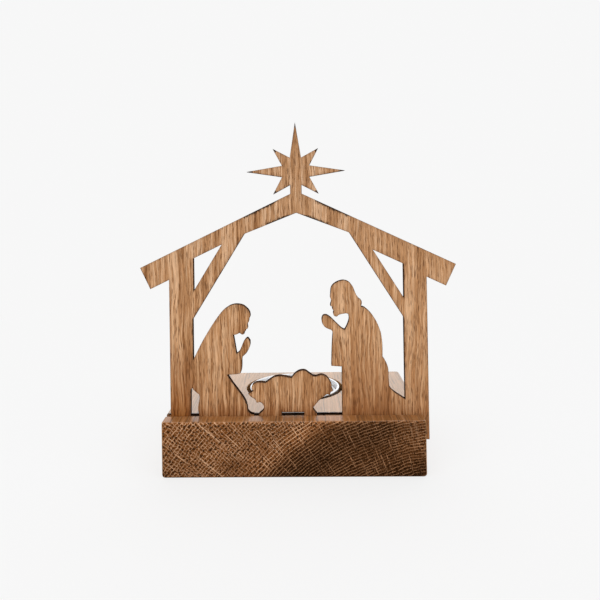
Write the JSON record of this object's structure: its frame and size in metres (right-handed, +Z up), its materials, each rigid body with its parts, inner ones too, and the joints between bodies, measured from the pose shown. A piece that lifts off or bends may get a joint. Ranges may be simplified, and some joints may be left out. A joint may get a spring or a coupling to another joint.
{
  "type": "nativity stable tealight holder",
  "caption": "Laser-cut oak nativity stable panel with a star, standing in the slot of a solid oak block, with a tealight in a round recess behind it.",
  "frame": {"origin": "middle of the block's underside, where it rests", "axes": "+Z up, -Y to the front that carries the end grain, +X to the viewer's right"},
  "size_m": [0.1226, 0.07, 0.1347],
  "materials": {
    "solid_oak": "sanded and oiled solid oak, end grain at the front",
    "oak_veneer": "matt lacquered oak veneer, grain upright",
    "burnt_core": "laser-burnt cut edge",
    "cup_aluminium": "bright drawn foil",
    "wax": "white paraffin",
    "sustainer_tin": "tinned steel",
    "wick_cotton": "waxed braided cotton"
  },
  "bodies": {
    "base": {"base_block": "solid_oak"},
    "panel": {"front_veneer": "oak_veneer", "panel_core": "burnt_core", "back_veneer": "oak_veneer"},
    "cup": {"tealight_cup": "cup_aluminium"},
    "candle": {"tealight_wax": "wax", "wick_sustainer": "sustainer_tin", "wick": "wick_cotton"}
  },
  "joints": [
    {"name": "panel_lift", "type": "slide", "parent": "base", "child": "panel", "axis": [0, 0, 1], "range_m": [0, 0.012]},
    {"name": "tealight_lift", "type": "slide", "parent": "base", "child": "cup", "axis": [0, 0, 1], "range_m": [0, 0.018]},
    {"name": "candle_lift", "type": "slide", "parent": "cup", "child": "candle", "axis": [0, 0, 1], "range_m": [0, 0.016]}
  ]
}
